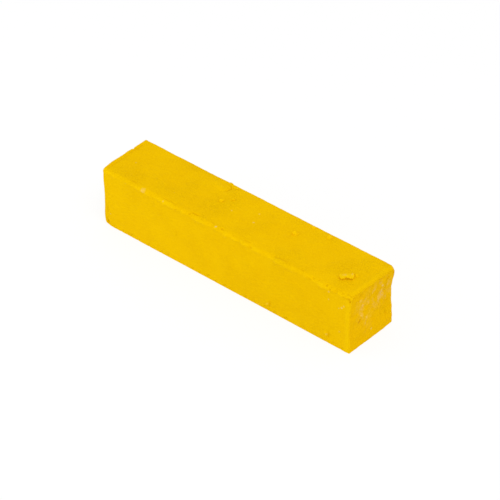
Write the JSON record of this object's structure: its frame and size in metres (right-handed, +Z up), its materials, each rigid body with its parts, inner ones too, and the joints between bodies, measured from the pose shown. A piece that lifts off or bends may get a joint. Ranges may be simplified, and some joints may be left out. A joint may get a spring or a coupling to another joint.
{
  "type": "clay bar",
  "caption": "Square stick of kneadable detailing clay for lifting grit off paint, torn at one end and smooth at the other, with a ragged fin along an edge and a curled flake and crumbs on top.",
  "frame": {"origin": "centre of the underside, on the surface the bar lies on", "axes": "+X along the bar towards the end with the curled flake, +Y across the bar, +Z up"},
  "size_m": [0.11, 0.0226, 0.0243],
  "materials": {
    "clay": "saturated yellow kneadable polymer clay, satin, slightly waxy, with pale bloom on the cut end"
  },
  "bodies": {
    "root": {"clay_bar": "clay", "curled_flake": "clay", "crumb_1": "clay", "crumb_2": "clay", "crumb_3": "clay", "crumb_4": "clay", "crumb_5": "clay", "crumb_6": "clay"}
  },
  "joints": []
}
